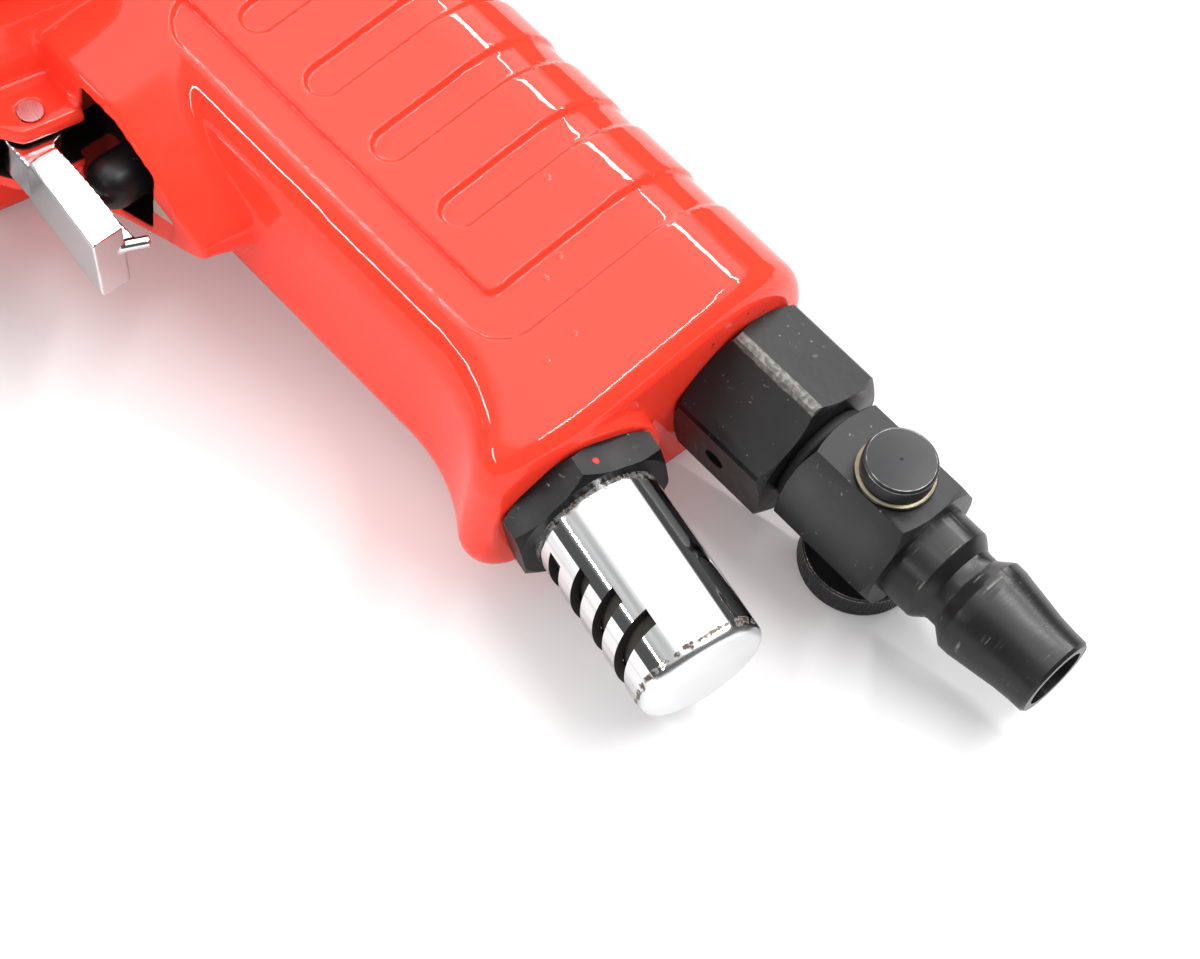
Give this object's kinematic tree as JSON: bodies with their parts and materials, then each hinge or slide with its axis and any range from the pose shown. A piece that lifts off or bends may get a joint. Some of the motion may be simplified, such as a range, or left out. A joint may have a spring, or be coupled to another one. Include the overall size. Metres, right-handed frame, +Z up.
{
  "type": "air impact wrench",
  "caption": "Pistol grip air impact wrench with a square drive, twin hammers, vane motor, trigger throttle, reverse lever, side regulator, quick plug and saw cut muffler.",
  "frame": {"origin": "middle of the square drive's front face, on the drive axis", "axes": "+X forward along the drive axis; the tool lies on its right side, so +Z is up from the ground, close to the tool's left, and +Y runs close to the way the grip hangs down"},
  "size_m": [0.1694, 0.1707, 0.055],
  "materials": {
    "red_enamel": "thick glossy red enamel",
    "case_alloy": "fine blasted and lacquered alloy",
    "gasket": "dark pressed fibre",
    "bolt_steel": "blackened screw steel",
    "bronze": "turned bronze",
    "cast_iron": "ground iron",
    "bright_steel": "ground bright steel",
    "vane": "cloth laminate",
    "hammer_steel": "hardened grey steel",
    "rubber": "matt black rubber",
    "chrome": "bright chrome",
    "nut_steel": "brown black oxide",
    "black_oxide": "black oxide with worn edges",
    "brass": "turned brass",
    "lever_alloy": "tumbled alloy",
    "felt": "grey felt"
  },
  "bodies": {
    "housing": {"motor_housing": "red_enamel", "rear_cover": "red_enamel", "rear_gasket": "gasket", "rear_cover_bolts": "bolt_steel", "hammer_case": "case_alloy", "front_gasket": "gasket", "hammer_case_bolts": "bolt_steel", "anvil_bush": "bronze", "cylinder_liner": "cast_iron", "front_end_plate": "cast_iron", "rear_end_plate": "cast_iron", "motor_dowels": "bright_steel", "front_bearing_outer_ring": "bright_steel", "rear_bearing_outer_ring": "bright_steel", "trigger_pin": "bright_steel", "throttle_bush": "brass", "throttle_bush_seal": "rubber", "throttle_spring": "bright_steel", "throttle_cap": "black_oxide", "reverse_seal": "rubber", "inlet_bush": "black_oxide", "inlet_seal": "rubber", "inlet_screen": "brass", "regulator_plug": "black_oxide", "muffler_tube": "chrome", "muffler_lock_nut": "nut_steel", "muffler_felt": "felt"},
    "rotor": {"rotor": "bright_steel", "rotor_vanes": "vane", "hammer_cage": "hammer_steel", "front_hammer": "hammer_steel", "rear_hammer": "hammer_steel", "hammer_pins": "bright_steel", "front_bearing_inner_ring": "bright_steel", "rear_bearing_inner_ring": "bright_steel"},
    "anvil": {"anvil": "hammer_steel", "socket_ring": "hammer_steel", "socket_ring_cushion": "rubber"},
    "trigger": {"trigger_lever": "chrome"},
    "throttle": {"throttle_plunger": "black_oxide", "throttle_valve": "rubber"},
    "reverse": {"reverse_valve": "hammer_steel", "reverse_lever": "lever_alloy", "reverse_lever_screw": "bolt_steel"},
    "regulator": {"regulator_spindle": "black_oxide", "spindle_clip": "brass", "spindle_seals": "rubber"}
  },
  "joints": [
    {"name": "rotor_spin", "type": "hinge", "parent": "housing", "child": "rotor", "pos_m": [-0.1, 0, 0], "axis": [1, 0, 0], "continuous": true},
    {"name": "anvil_spin", "type": "hinge", "parent": "housing", "child": "anvil", "pos_m": [-0.03, 0, 0], "axis": [1, 0, 0], "continuous": true},
    {"name": "throttle_travel", "type": "slide", "parent": "housing", "child": "throttle", "axis": [-0.9813, -0.191, 0.0242], "range_m": [0, 0.00175], "stiffness_N_per_m": 150, "springref_m": -0.01, "deforming": ["throttle_spring"]},
    {"name": "trigger_pull", "type": "hinge", "parent": "housing", "child": "trigger", "pos_m": [-0.08889, 0.03103, -0.00393], "axis": [0, 0.1258, 0.9921], "range_deg": [0, 10]},
    {"name": "reverse_turn", "type": "hinge", "parent": "housing", "child": "reverse", "pos_m": [-0.155, 0, 0], "axis": [1, 0, 0], "range_deg": [0, 60]},
    {"name": "regulator_turn", "type": "hinge", "parent": "housing", "child": "regulator", "pos_m": [-0.148, 0.11607, -0.01472], "axis": [0, 0.1258, 0.9921], "range_deg": [0, 90]}
  ],
  "couplings": [
    {"joint": "anvil_spin", "follows": "rotor_spin", "ratio": 1},
    {"joint": "trigger_pull", "follows": "throttle_travel", "rad_per_m": 100}
  ]
}
